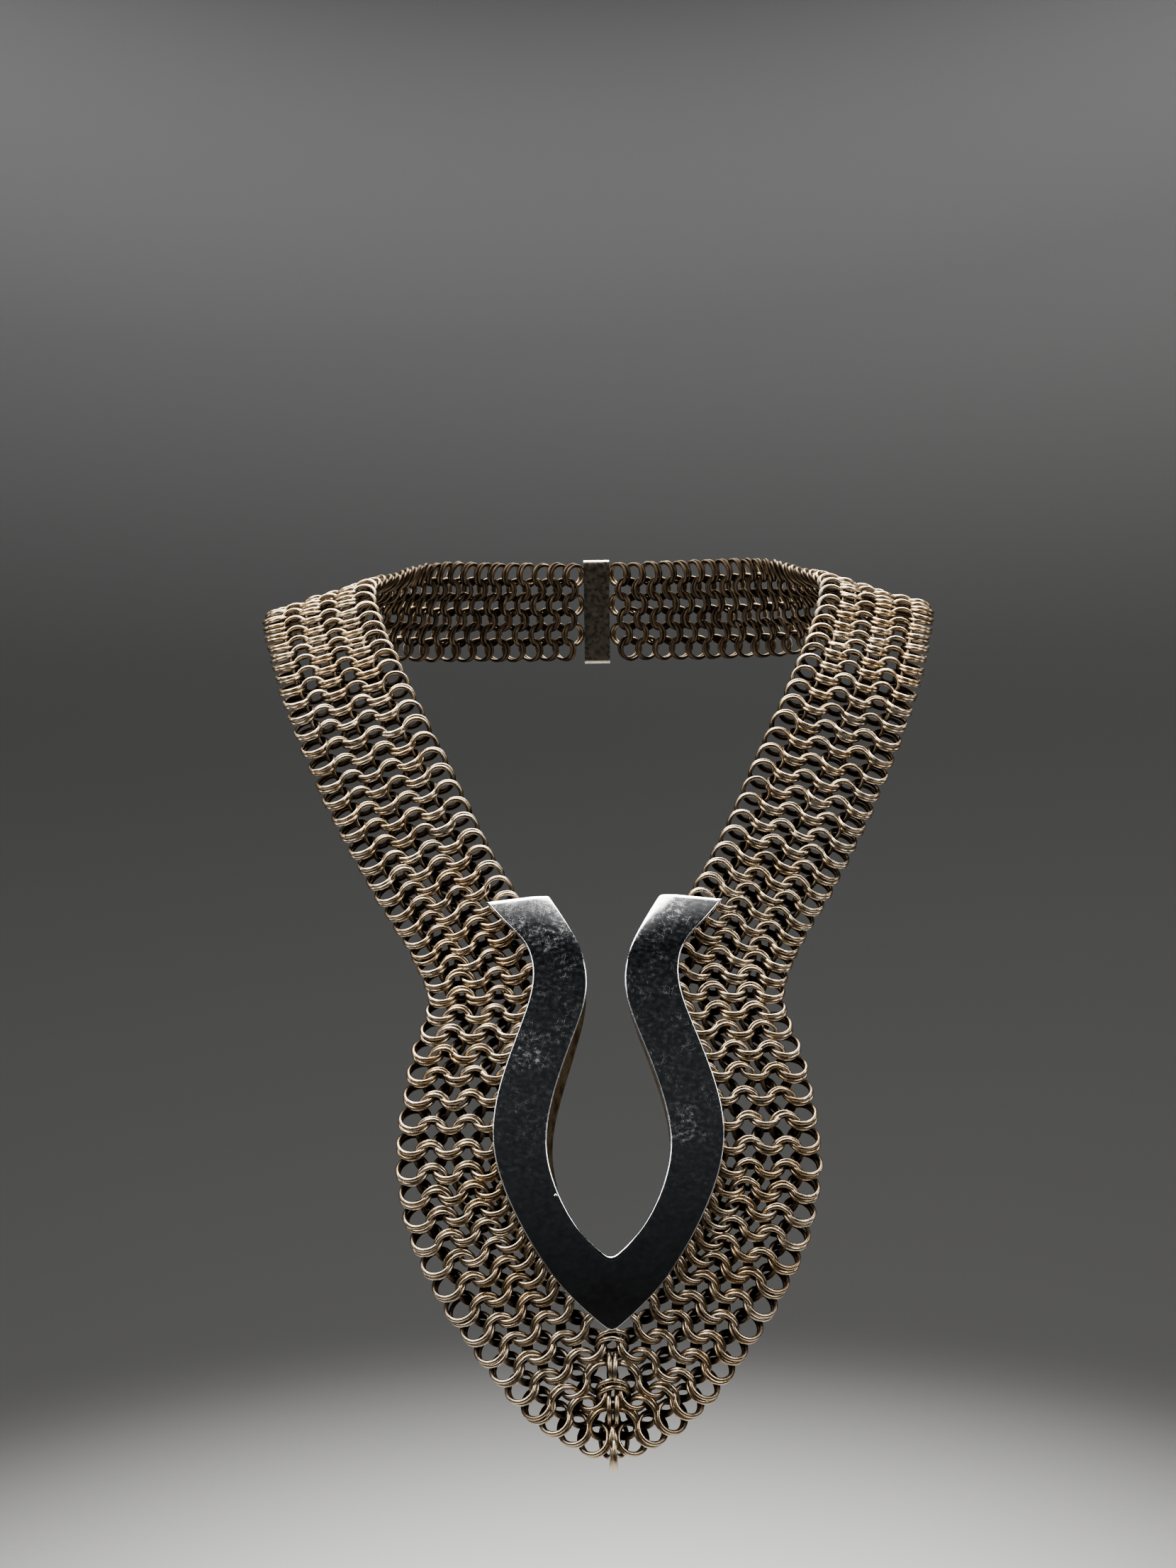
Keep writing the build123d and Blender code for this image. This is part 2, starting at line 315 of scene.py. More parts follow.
@dataclass
class RingMesh:
    """The woven collar: every ring linked through its neighbours in the rows beside it.

    Lengths are in millimetres and jitters are standard deviations. The bunch at the bib's tip
    gives each of its rings a turn, a splay and an offset to the side.
    """

    course: CollarCourse = field(default_factory=CollarCourse)
    ring: RingWire = field(default_factory=RingWire)
    inner_follow: float = 0.5
    end_gap: float = 7.6
    place_jitter: float = 0.12
    turn_jitter: float = 2.2
    seed: int = 16
    middle_drops: tuple[float, ...] = (0.0, 1.0, 1.6, 0.4, 2.8, 0.8)
    middle_gap: float = 0.4
    lying_lean: float = 50.0
    lying_apart: float = 0.90
    standing_apart: float = 0.80
    last_apart: Pair = (0.18, 0.75)
    bunch: tuple[Triple, ...] = ((-0.55, -0.26, -1.5), (0.55, 0.26, 1.5))

    def first_count(self, row: int) -> float:
        """Ring count of a row at the bib's middle line."""
        return SECTIONS[0].count + SECTIONS[0].count_step * row

    def row_counts(self, row: int) -> Array:
        """Ring counts of one row, from beside the middle line to the clasp.

        Args:
            row: Row number, 0 for the inner row.

        Returns:
            The counts, in steps of one. Odd rows sit half a step further on.
        """
        half = 0.5 if row % 2 else 0.0
        start = math.ceil(self.first_count(row) + self.middle_gap - half) + half
        counts = np.arange(start, SECTIONS[-1].count, 1.0)
        places = self.course.point(row, counts)
        return counts[(places[:, 0] > self.end_gap) | (counts < Zone.NECK.value[0])]

    def row_rings(self, rings: Rings, row: int, counts: Array) -> None:
        """Places the doubled rings of one row.

        Args:
            rings: Where they are added.
            row: Row number.
            counts: Ring counts along it.
        """
        centres = self.course.point(row, counts)
        along, across, out = self.course.axes(row, counts, self.inner_follow)
        lean = math.radians(self.ring.lean)
        sign = -1.0 if row % 2 else 1.0
        edge = math.cos(lean) * along + sign * math.sin(lean) * out
        frames = np.stack([across, edge, np.cross(across, edge)], axis=-1)
        for half in (-1, 1):
            shift = self.ring.pair_along * along - sign * self.ring.pair_depth * out
            rings.append((centres + half * shift, frames, out))

    def middle_rings(self, rings: Rings) -> None:
        """Places the rings on the bib's middle line.

        Lying pairs and standing pairs take turns. At the tip a few rings bunch on the last pair.

        Args:
            rings: Where they are added.
        """
        down = unit(np.array(SECTIONS[0].way))
        out = np.array([0.0, down[2], -down[1]])
        right = np.array([1.0, 0.0, 0.0])
        lean = math.radians(self.lying_lean)
        edge = math.sin(lean) * out - math.cos(lean) * down
        lying = np.stack([right, edge, np.cross(right, edge)], axis=-1)
        standing = np.stack([down, out, right], axis=-1)
        last = self.course.rows - 1
        for row, drop in enumerate(self.middle_drops):
            centre = self.course.point(row, np.array([self.first_count(row)]))[0]
            centre = centre * np.array([0.0, 1.0, 1.0]) + drop * down
            if row == last - 1:
                for turn, splay, offset in self.bunch:
                    axis = math.cos(turn) * right + math.sin(turn) * out
                    hang = math.cos(splay) * down + math.sin(splay) * right
                    hang = unit(hang - np.dot(hang, axis) * axis)
                    facing = np.stack([hang, np.cross(axis, hang), axis], axis=-1)
                    rings.append(((centre + offset * right)[None], facing[None], out[None]))
            else:
                apart = self.standing_apart * right if row % 2 else -self.lying_apart * down
                if row == last:
                    apart = self.last_apart[0] * right + self.last_apart[1] * out
                facing = standing if row % 2 else lying
                for half in (-1, 1):
                    rings.append(((centre + half * apart)[None], facing[None], out[None]))

    def side_rings(self, side: Side, zone: Zone) -> Rings:
        """Gathers the rings of one zone of one half.

        Args:
            side: Which half of the collar.
            zone: Which stretch of it.

        Returns:
            The rings, mirrored for the left half.
        """
        rings: Rings = []
        low, high = zone.value
        for row in range(self.course.rows):
            counts = self.row_counts(row)
            counts = counts[(counts >= low) & (counts < high)]
            if len(counts):
                self.row_rings(rings, row, counts)
        if zone is Zone.BIB and side is Side.RIGHT:
            self.middle_rings(rings)
        if side is Side.LEFT:
            flip = np.array([-1.0, 1.0, 1.0])
            turn = flip[None, :, None] * np.array([1.0, 1.0, -1.0])
            rings = [(spots * flip, frames * turn, outs * flip) for spots, frames, outs in rings]
        return rings

    def turns(self, rng: np.random.Generator, count: int) -> Array:
        """Spins each ring about its axis and tips it a little.

        Args:
            rng: Where the differences are drawn from.
            count: Number of rings.

        Returns:
            One rotation for each ring.
        """
        spin = rng.uniform(0, math.tau, count)
        turned = np.tile(np.eye(3), (count, 1, 1))
        turned[:, 0, 0], turned[:, 0, 1] = np.cos(spin), -np.sin(spin)
        turned[:, 1, 0], turned[:, 1, 1] = np.sin(spin), np.cos(spin)
        wobble = np.radians(rng.normal(0, self.turn_jitter, (count, 2)))
        tilt = np.tile(np.eye(3), (count, 1, 1))
        tilt[:, 0, 2], tilt[:, 2, 0] = wobble[:, 1], -wobble[:, 1]
        tilt[:, 1, 2], tilt[:, 2, 1] = -wobble[:, 0], wobble[:, 0]
        return tilt @ turned

    @staticmethod
    def joined_mesh(name: str, placed: Array, faces: Array) -> bpy.types.Mesh:
        """Makes one mesh of many copies of a ring.

        Args:
            name: Its name.
            placed: Vertices of each copy, in millimetres.
            faces: The four-cornered faces of one copy.

        Returns:
            The mesh, in metres.
        """
        count, size = placed.shape[:2]
        all_faces = (faces[None] + (np.arange(count) * size)[:, None, None]).reshape(-1, 4)
        starts = np.arange(0, all_faces.size, 4, dtype=np.int32)
        mesh = bpy.data.meshes.new(name)
        mesh.vertices.add(count * size)
        mesh.vertices.foreach_set("co", (placed * MM).reshape(-1).astype(np.float32))
        mesh.loops.add(all_faces.size)
        mesh.loops.foreach_set("vertex_index", all_faces.reshape(-1).astype(np.int32))
        mesh.polygons.add(len(all_faces))
        mesh.polygons.foreach_set("loop_start", starts)
        mesh.update(calc_edges=True)
        mesh.validate()
        return mesh

    def build(self, name: str, rings: Rings, seed: int) -> bpy.types.Object:
        """Joins rings into one piece.

        Args:
            name: Name of the piece.
            rings: The rings to join.
            seed: Seed of the small differences between rings.

        Returns:
            The new object, with its ring coordinates and tones.
        """
        points, faces, coords = self.ring.template()
        centres, frames, outs = (np.concatenate(part) for part in zip(*rings))
        rng = np.random.default_rng(seed)
        count = len(centres)
        matrices = frames @ self.turns(rng, count)
        shifted = centres + rng.normal(0, self.place_jitter, (count, 3))
        placed = np.einsum("nij,vj->nvi", matrices, points) + shifted[:, None, :]
        depth = np.einsum("nvi,ni->nv", placed - centres[:, None, :], outs)
        mesh = self.joined_mesh(name, placed, faces)
        layer = mesh.uv_layers.new(name="ring")
        layer.data.foreach_set("uv", np.tile(coords.reshape(-1), count).astype(np.float32))
        for label, values in (
            ("height", (depth / self.course.half_thickness).reshape(-1)),
            ("tone", np.repeat(rng.uniform(0, 1, count), len(points))),
        ):
            attribute = mesh.attributes.new(label, "FLOAT", "POINT")
            attribute.data.foreach_set("value", values.astype(np.float32))
        mesh.shade_smooth()
        piece = new_object(name, mesh)
        smooth = piece.modifiers.new("round wire", "SUBSURF")
        smooth.levels = smooth.render_levels = 1
        LOG.info("%s: %d rings", name, count)
        return piece

    def make(self, finish: "WireFinish") -> None:
        """Builds, dresses and places all pieces of the collar.

        Args:
            finish: The wire's finish.
        """
        LOG.info("collar from the %s to the %s", SECTIONS[0].place, SECTIONS[-1].place)
        material = finish.material()
        for side in Side:
            for number, zone in enumerate(Zone):
                name = f"rings_{zone.name.lower()}_{side.name.lower()}"
                seed = self.seed + number * 2 + side.value
                piece = self.build(name, self.side_rings(side, zone), seed)
                piece.data.materials.append(material)
                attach(piece, "root")
                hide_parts(f"mesh_{side.name.lower()}")


# The plate's edges: height as a share of the whole, then distance from the middle line as a
# share of half the span
OUTER_EDGE = (
    (0.000, 0.000), (0.090, 0.348), (0.248, 0.727), (0.346, 0.870), (0.446, 0.922), (0.568, 0.848),
    (0.704, 0.683), (0.804, 0.602), (0.880, 0.658), (0.943, 0.839), (1.000, 1.000),
)
INNER_EDGE = (
    (0.153, 0.000), (0.204, 0.186), (0.298, 0.391), (0.406, 0.488), (0.523, 0.432),
    (0.660, 0.267), (0.783, 0.155), (0.863, 0.196), (0.943, 0.323), (1.020, 0.478),
)


def spline(knots: Array, values: Array, wanted: Array) -> Array:
    """Reads a natural cubic spline.

    Args:
        knots: Rising knot places.
        values: One row of values for each knot.
        wanted: Places to read.

    Returns:
        One row of values for each wanted place.
    """
    gaps = np.diff(knots)
    slopes = np.diff(values, axis=0) / gaps[:, None]
    size = len(knots)
    system = np.eye(size)
    right = np.zeros_like(values, dtype=float)
    for k in range(1, size - 1):
        system[k, k - 1 : k + 2] = gaps[k - 1], 2 * (gaps[k - 1] + gaps[k]), gaps[k]
        right[k] = 6 * (slopes[k] - slopes[k - 1])
    bends = np.linalg.solve(system, right)
    index = np.clip(np.searchsorted(knots, wanted, side="right") - 1, 0, size - 2)
    gap = gaps[index][:, None]
    right_share = (wanted - knots[index])[:, None] / gap
    left_share = 1 - right_share
    left_bend = (left_share**3 - left_share) * bends[index]
    right_bend = (right_share**3 - right_share) * bends[index + 1]
    straight = left_share * values[index] + right_share * values[index + 1]
    return straight + (left_bend + right_bend) * gap**2 / 6


@dataclass
class Pendant:
    """Open leaf-shaped plate, with a short wall soldered behind each inner edge.

    Lengths are in millimetres, and the rim and shoulder places are shares of the height. The
    steps are places across the plate and down from the arms' tops, closer near the edges.
    """

    height: float = 113.0
    half_span: float = 32.2
    tip: Triple = (0.0, -126.44, -189.61)
    tilt: float = 22.44
    plate: float = 1.5
    top_radius: float = 60.0
    top_length: float = 18.0
    tip_radius: float = 45.0
    tip_length: float = 9.0
    rim_round: float = 0.34
    rim_slope: float = 0.42
    rim_width: float = 0.62
    rim_end: float = 0.62
    rim_fade: float = 0.20
    rim_least: float = 0.25
    top_round: float = 1.15
    shoulder_fall: float = 0.70
    shoulder_width: float = 6.2
    shoulder_start: float = 0.80
    shoulder_rise: float = 0.16
    corner_rounds: Pair = (0.9, 3.2)
    notch_rise: float = 1.1
    tip_rise: float = 0.8
    edge_length: float = 1.05
    corner_station: int = -12
    corner_slack: float = 1.05
    wall: float = 1.2
    wall_depth: float = 6.5
    wall_middle: float = 60.0
    wall_length: float = 54.0
    wall_start: float = 0.6
    wall_inset: float = 0.05
    wall_round: float = 0.3
    wall_samples: int = 400
    wall_every: int = 4
    left_lean: float = 17.0
    bead: Triple = (-13.6, 33.2, 0.35)
    bead_radius: float = 0.62
    bead_shape: Triple = (1.0, 0.75, 1.25)
    sharp_from: float = 48.0
    stations: int = 84
    top_steps: tuple[float, ...] = (0.0, 0.12, 0.34, 0.66, 1.15, 1.9, 3.0)
    top_margin: float = 4.4
    edge_steps: tuple[float, ...] = (0.0, 0.05, 0.16, 0.36, 0.62, 1.4, 2.6, 3.9, 5.2)
    wall_steps: tuple[float, ...] = (0.0, 0.1, 0.4, 0.75, 0.94, 1.0)

    def edge(self, table: tuple[Pair, ...], share: Array) -> Array:
        """Points of one edge of the right half.

        Args:
            table: The edge's points as shares of the height and of half the span.
            share: Places along the edge, from 0 at the middle line to 1 at the arm's top.

        Returns:
            Distance from the middle line and height up the plate, in millimetres.
        """
        points = np.array([(x * self.half_span, h * self.height) for h, x in table])
        run = np.concatenate([[0.0], np.cumsum(np.linalg.norm(np.diff(points, axis=0), axis=1))])
        return spline(run, points, np.asarray(share) * run[-1])

    def place(self, across: Array, up: Array, behind: Array) -> Array:
        """Puts points of the flat plate where the bent plate has them.

        Args:
            across: Distances from the middle line.
            up: Heights above the lower tip.
            behind: Distances behind the front face.

        Returns:
            Points in millimetres.
        """
        upper = up > self.height / 2
        past_top = np.maximum(0, up - self.height + self.top_length)
        over = np.where(upper, past_top, -np.maximum(0, self.tip_length - up))
        radius = np.where(upper, self.top_radius, self.tip_radius)
        turn = np.arcsin(over / radius)
        rise = up - behind * np.sin(turn)
        out = -radius * (1 - np.cos(turn)) - behind * np.cos(turn)
        lean = math.radians(self.tilt)
        back = rise * math.sin(lean) - out * math.cos(lean)
        high = rise * math.cos(lean) + out * math.sin(lean)
        return np.stack([across, back, high], axis=-1) + np.array(self.tip)

    def shares(self) -> Array:
        """Works out the stations along the plate, closer together at the arms' tops.

        Returns:
            Shares of an edge's length, below 0 on the left arm.
        """
        run = self.height * self.edge_length
        close = np.array(self.top_steps) / run
        even = np.linspace(0, 1 - self.top_margin / run, self.stations)
        half = np.concatenate([even, 1 - close[::-1]])
        return np.concatenate([-half[:0:-1], half])

    def flat(self) -> tuple[Array, Array, Array]:
        """Lays out the plate before it is bent.

        Returns:
            Distances across, heights and how far the rounded edges fall behind the face,
            each one row for a station and one column for a place from inner to outer edge.
        """
        share = self.shares()
        size = np.abs(share)
        inner, outer = self.edge(INNER_EDGE, size), self.edge(OUTER_EDGE, size)
        inner[:, 1] += np.sqrt(inner[:, 0] ** 2 + self.notch_rise**2) - inner[:, 0]
        outer[:, 1] += np.sqrt(outer[:, 0] ** 2 + self.tip_rise**2) - outer[:, 0]
        width = np.linalg.norm(outer - inner, axis=1)
        near = np.array(self.edge_steps)[None, :] / width[:, None]
        columns = np.concatenate([near, 1 - near[:, ::-1]], axis=1)
        share_out = columns[..., None]
        points = inner[:, None, :] * (1 - share_out) + outer[:, None, :] * share_out
        from_inner, from_outer = columns * width[:, None], (1 - columns) * width[:, None]
        points = self.round_corners(points, share)
        top_line = outer[-1] - inner[-1]
        normal = np.array([top_line[1], -top_line[0]]) / np.linalg.norm(top_line)
        from_top = np.abs((points - outer[-1]) @ normal)
        fall = self.rolled(np.minimum(from_inner, from_outer), self.rim_round)
        fall = np.maximum(fall, self.rolled(from_top, self.top_round))
        up_share = points[..., 1] / self.height
        foot = np.clip((self.rim_end - up_share) / self.rim_fade, self.rim_least, 1)
        fall = fall + foot * self.rim_slope * np.maximum(0, self.rim_width - from_inner)
        arm = np.clip((up_share - self.shoulder_start) / self.shoulder_rise, 0, 1)
        arm = arm * arm * (3 - 2 * arm)
        near_inner = np.clip(1 - from_inner / self.shoulder_width, 0, 1)
        fall = fall + arm * self.shoulder_fall * near_inner**2
        across = points[..., 0] * np.where(share < 0, -1.0, 1.0)[:, None]
        return across, points[..., 1], fall

    def round_corners(self, points: Array, share: Array) -> Array:
        """Rounds the inner corners of the arms' tops, each arm by its own radius.

        Args:
            points: Points of the right half's layout, one row for a station.
            share: Places of the stations, below 0 on the left arm.

        Returns:
            The points, those past the round drawn in onto it.
        """
        corner, along_top = points[-1, 0], points[-1, -1] - points[-1, 0]
        down = points[self.corner_station, 0] - corner
        along_top, down = unit(along_top), unit(down)
        half = math.acos(float(np.dot(along_top, down))) / 2
        middle = (along_top + down) / np.linalg.norm(along_top + down)
        for sign, radius in zip((-1, 1), self.corner_rounds):
            centre = corner + middle * radius / math.sin(half)
            offset = points - centre
            reach = radius / math.tan(half)
            local = points - corner
            inside = (local @ along_top < reach) & (local @ down < reach * self.corner_slack)
            inside &= (np.sign(share) == sign)[:, None]
            far = np.linalg.norm(offset, axis=-1)
            pull = np.where(inside & (far > radius), radius / np.maximum(far, 1e-6), 1.0)
            points = centre + offset * pull[..., None]
        return points

    @staticmethod
    def rolled(distance: Array, radius: float) -> Array:
        """How far a rounded edge falls back, at some distances from the edge.

        Args:
            distance: Distances from the edge.
            radius: The edge's radius.

        Returns:
            The fall, nothing from one radius inwards.
        """
        inward = np.clip(radius - distance, 0, radius)
        return radius - np.sqrt(radius**2 - inward**2)

    @staticmethod
    def solid(front: Array, back: Array) -> bmesh.types.BMesh:
        """Makes a solid between two layouts of points.

        Args:
            front: Points of the front, one row for a station, in metres.
            back: Points of the back, laid out alike.

        Returns:
            The solid.
        """
        rows, columns = front.shape[0] - 1, front.shape[1] - 1
        mesh = bmesh.new()
        made = bmesh.ops.create_grid(mesh, x_segments=columns, y_segments=rows, size=0.5)
        grown = bmesh.ops.extrude_face_region(mesh, geom=mesh.faces[:], use_keep_orig=True)
        copied = [item for item in grown["geom"] if isinstance(item, bmesh.types.BMVert)]
        for verts, layout in ((made["verts"], front), (copied, back)):
            for vert in verts:
                row, column = round((vert.co.y + 0.5) * rows), round((vert.co.x + 0.5) * columns)
                vert.co = layout[row, column]
        bmesh.ops.recalc_face_normals(mesh, faces=mesh.faces[:])
        return mesh

    def plate_mesh(self) -> bmesh.types.BMesh:
        """Makes the plate with its rounded edges.

        Returns:
            The plate.
        """
        across, up, fall = self.flat()
        back = self.place(across, up, np.full_like(up, self.plate))
        return self.solid(self.place(across, up, fall) * MM, back * MM)

    def wall_mesh(self, side: Side) -> bmesh.types.BMesh:
        """Makes the wall behind one inner edge.

        Args:
            side: The arm that it stands behind.

        Returns:
            The wall, deepest at its middle.
        """
        edge = self.edge(INNER_EDGE, np.linspace(0, 1, self.wall_samples))
        from_middle = edge[:, 1] - self.wall_middle
        edge = edge[np.abs(from_middle) <= self.wall_length / 2][:: self.wall_every]
        chord = (edge[:, 1] - self.wall_middle) / (self.wall_length / 2)
        depth = self.wall_depth * np.clip(1 - chord**2, 0.0, 1.0)
        reach = depth[:, None] * np.array(self.wall_steps)[None, :]
        lean = math.radians(self.left_lean if side is Side.LEFT else 0.0)
        up = np.repeat(edge[:, 1][:, None], len(self.wall_steps), axis=1)
        behind = self.plate * self.wall_start + reach * math.cos(lean)
        rounded = self.rolled(reach[:, -1:] - reach, self.wall_round) / 2
        sides = []
        for offset, inward in ((self.wall_inset, 1), (self.wall, -1)):
            across = edge[:, 0][:, None] + offset - reach * math.sin(lean) + rounded * inward
            sides.append(self.place(side.value * across, up, behind) * MM)
        return self.solid(*sides)

    def bead_mesh(self) -> bmesh.types.BMesh:
        """Makes the drop of solder left at the lower end of the left wall.

        Returns:
            The drop.
        """
        mesh = bmesh.new()
        bmesh.ops.create_icosphere(mesh, subdivisions=3, radius=self.bead_radius * MM)
        spot = self.place(*(np.array([value]) for value in self.bead))[0] * MM
        shape = Matrix.Translation(Vector(spot)) @ Matrix.Diagonal((*self.bead_shape, 1.0))
        bmesh.ops.transform(mesh, matrix=shape, verts=mesh.verts)
        bmesh.ops.smooth_vert(mesh, verts=mesh.verts[:], factor=0.5)
        return mesh

    def finish(self, name: str, mesh: bmesh.types.BMesh, material: bpy.types.Material) -> None:
        """Turns a bmesh into a piece of the pendant.

        Args:
            name: Its name.
            mesh: Its shape, freed afterwards.
            material: Its finish.
        """
        data = bpy.data.meshes.new(name)
        mesh.to_mesh(data)
        mesh.free()
        data.shade_smooth()
        data.set_sharp_from_angle(angle=math.radians(self.sharp_from))
        lean = math.radians(self.tilt)
        points = np.array([vert.co[:] for vert in data.vertices]) / MM - np.array(self.tip)
        up = points[:, 1] * math.sin(lean) + points[:, 2] * math.cos(lean)
        corners = [loop.vertex_index for loop in data.loops]
        flat = np.stack([points[:, 0], up], axis=-1)[corners]
        layer = data.uv_layers.new(name="plate")
        layer.data.foreach_set("uv", flat.reshape(-1).astype(np.float32))
        data.materials.append(material)
        piece = new_object(name, data)
        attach(piece, "root")
        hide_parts("pendant")
        LOG.info("%s: %d faces", name, len(data.polygons))

    def make(self, polish: "PlateFinish", tarnish: "WallFinish") -> None:
        """Builds and dresses the pendant.

        Args:
            polish: The plate's finish.
            tarnish: The walls' finish.
        """
        polished = polish.material()
        tarnished = tarnish.material()
        self.finish("pendant_plate", self.plate_mesh(), polished)
        for side in Side:
            self.finish(f"pendant_wall_{side.name.lower()}", self.wall_mesh(side), tarnished)
        self.finish("pendant_solder", self.bead_mesh(), polished)


@dataclass
class NodeSheet:
    """A node tree, with short calls for adding nodes.

    Where a call takes a value, it may be a socket or a constant.
    """

    tree: bpy.types.NodeTree

    def join(self, value: object, target: Socket) -> None:
        """Feeds an input socket.

        Args:
            value: A socket, a number or a colour.
            target: The input.
        """
        if isinstance(value, Socket):
            self.tree.links.new(value, target)
        elif target.type == "RGBA":
            target.default_value = (*value, 1.0)
        else:
            target.default_value = value

    def add(
        self, kind: str, inputs: dict[str | int, object], output: str | int = 0, **settings: object
    ) -> Socket:
        """Adds a node and feeds it.

        Args:
            kind: Blender's name of the node type, without the word ShaderNode.
            inputs: A value for each input, by its name or number.
            output: Name or number of the output that is wanted.
            **settings: Attributes to set on the node.

        Returns:
            The output.
        """
        node = self.tree.nodes.new("ShaderNode" + kind)
        for key, value in settings.items():
            setattr(node, key, value)
        for key, value in inputs.items():
            self.join(value, node.inputs[key])
        return node.outputs[output]

    def math(self, operation: str, *values: object, clamp: bool = False) -> Socket:
        """Works out a number from one or two values."""
        inputs = dict(enumerate(values))
        return self.add("Math", inputs, operation=operation, use_clamp=clamp)

    def plus(self, *values: object, clamp: bool = False) -> Socket:
        """Adds two values."""
        return self.math("ADD", *values, clamp=clamp)

    def minus(self, *values: object, clamp: bool = False) -> Socket:
        """Takes the second value from the first."""
        return self.math("SUBTRACT", *values, clamp=clamp)

    def times(self, *values: object, clamp: bool = False) -> Socket:
        """Multiplies two values."""
        return self.math("MULTIPLY", *values, clamp=clamp)

    def most(self, *values: object) -> Socket:
        """Takes the larger of two values."""
        return self.math("MAXIMUM", *values)

    def span(self, value: Socket, *ends: float) -> Socket:
        """Maps a range smoothly onto another.

        Args:
            value: The value to map.
            *ends: Start and end of its range, and what they become if not 0 and 1.

        Returns:
            The mapped value.
        """
        inputs = dict(zip(("From Min", "From Max", "To Min", "To Max"), ends))
        inputs["Value"] = value
        return self.add("MapRange", inputs, "Result", interpolation_type="SMOOTHSTEP")

    def mix(self, share: object, first: object, second: object) -> Socket:
        """Mixes two colours by the second one's share."""
        return self.add("Mix", {0: share, 6: first, 7: second}, 2, data_type="RGBA")

    def noise(self, coords: Socket, scale: float, detail: float = 2.0) -> Socket:
        """Makes noise from 0 to 1."""
        return self.add("TexNoise", {"Vector": coords, "Scale": scale, "Detail": detail}, "Fac")

    def split(self, coords: Socket) -> tuple[Socket, ...]:
        """Splits coordinates or a colour into its three values."""
        return tuple(self.add("SeparateXYZ", {0: coords}).node.outputs)

    def coords(self, *values: object) -> Socket:
        """Makes coordinates of up to three values."""
        return self.add("CombineXYZ", dict(enumerate(values)))

    def distance(self, coords: Socket, spot: Triple = (0.0, 0.0, 0.0)) -> Socket:
        """Measures how far coordinates lie from a spot."""
        return self.add("VectorMath", {0: coords, 1: spot}, "Value", operation="DISTANCE")

    def stored(self, name: str) -> Socket:
        """Reads a number stored in the mesh."""
        return self.add("Attribute", {}, "Fac", attribute_name=name)

    def unrolled(self, name: str) -> Socket:
        """Reads the flat coordinates stored in the mesh."""
        return self.add("UVMap", {}, "UV", uv_map=name)

    def place(self) -> Socket:
        """Reads the place in the object, in metres."""
        return self.add("TexCoord", {}, "Object")


@dataclass
class Surface(NodeSheet):
    """A material's node tree with its one shader."""

    material: bpy.types.Material
    shader: bpy.types.Node

    @classmethod
    def new(cls, name: str) -> "Surface":
        """Starts a material.

        Args:
            name: Its name.

        Returns:
            The surface.
        """
        material = bpy.data.materials.new(name)
        material.use_nodes = True
        shader = material.node_tree.nodes["Principled BSDF"]
        return cls(material.node_tree, material, shader)

    def give(self, **values: object) -> None:
        """Sets the shader's inputs.

        Args:
            **values: Sockets or constants, by the input's name with _ for a space.
        """
        for name, value in values.items():
            self.join(value, self.shader.inputs[name.replace("_", " ")])

    def roughen(self, height: Socket, strength: float, distance: float) -> None:
        """Adds fine bumps.

        Args:
            height: Their height.
            strength: Their strength.
            distance: Their full height in metres.
        """
        inputs = {"Height": height, "Strength": strength, "Distance": distance}
        self.give(Normal=self.add("Bump", inputs))


@dataclass(frozen=True)
class WireFinish:
    """Bright champagne wire, darkened by patina and painted shade where the rings shade each
    other.

    Clean unshaded and rubbed are heights in the mesh, from -1 at its inner side to 1 at its front.
    """

    bright: Triple = (0.70, 0.60, 0.47)
    golden: Triple = (0.60, 0.45, 0.29)
    # Patina and painted shade together in one colour.
    patina_and_shade: Triple = (0.065, 0.047, 0.032)
    rubbed: Triple = (0.30, 0.23, 0.16)
    seam: Triple = (0.010, 0.007, 0.005)
    seam_width: float = 0.0042
    seam_depth: float = 2.0
    clean_unshaded_from: Pair = (-0.30, 0.72)
    rubbed_from: Pair = (-0.45, -0.95)
    blotches: float = 900.0
    clouds: float = 70.0
    draw_lines: Triple = (9.0, 26.0, 40.0)
    rough: Pair = (0.25, 0.39)
    patina_rough: float = 0.22
    seam_rough: float = 0.4

    def material(self) -> bpy.types.Material:
        """Makes the material.

        Returns:
            The material.
        """
        sheet = Surface.new("ring_wire")
        height, tone = sheet.stored("height"), sheet.stored("tone")
        place = sheet.place()
        round_ring, round_wire, _ = sheet.split(sheet.unrolled("ring"))
        blotch = sheet.noise(place, self.blotches, 3.0)
        warm = sheet.times(sheet.span(sheet.noise(place, self.clouds), 0.40, 0.66), 0.55)
        warm = sheet.plus(warm, sheet.times(tone, 0.35), clamp=True)
        metal = sheet.mix(warm, self.bright, self.golden)
        # Painted shade: deeper in the collar clean metal gives way to patina and painted shade.
        depth_and_blotches = sheet.plus(height, sheet.times(sheet.minus(blotch, 0.5), 0.6))
        clean_unshaded = sheet.span(depth_and_blotches, *self.clean_unshaded_from)
        # Patina with painted shade, turning to lighter rubbed metal at the very back.
        inside = sheet.mix(sheet.span(height, *self.rubbed_from), self.patina_and_shade, self.rubbed)
        end = sheet.math("MINIMUM", round_ring, sheet.minus(1.0, round_ring))
        seam = sheet.span(end, self.seam_width, self.seam_width * 0.4)
        colour = sheet.mix(seam, sheet.mix(clean_unshaded, inside, metal), self.seam)
        rough = sheet.span(blotch, 0.3, 0.8, *self.rough)
        rough = sheet.plus(rough, sheet.times(sheet.minus(1.0, clean_unshaded), self.patina_rough))
        rough = sheet.plus(rough, sheet.times(seam, self.seam_rough), clamp=True)
        values = zip((round_ring, round_wire, tone), self.draw_lines)
        lines = sheet.coords(*(sheet.times(value, scale) for value, scale in values))
        relief = sheet.minus(sheet.noise(lines, 1.0), sheet.times(seam, self.seam_depth))
        sheet.roughen(relief, 0.35, 0.00004)
        sheet.give(Base_Color=colour, Roughness=rough, Metallic=1.0)
        return sheet.material


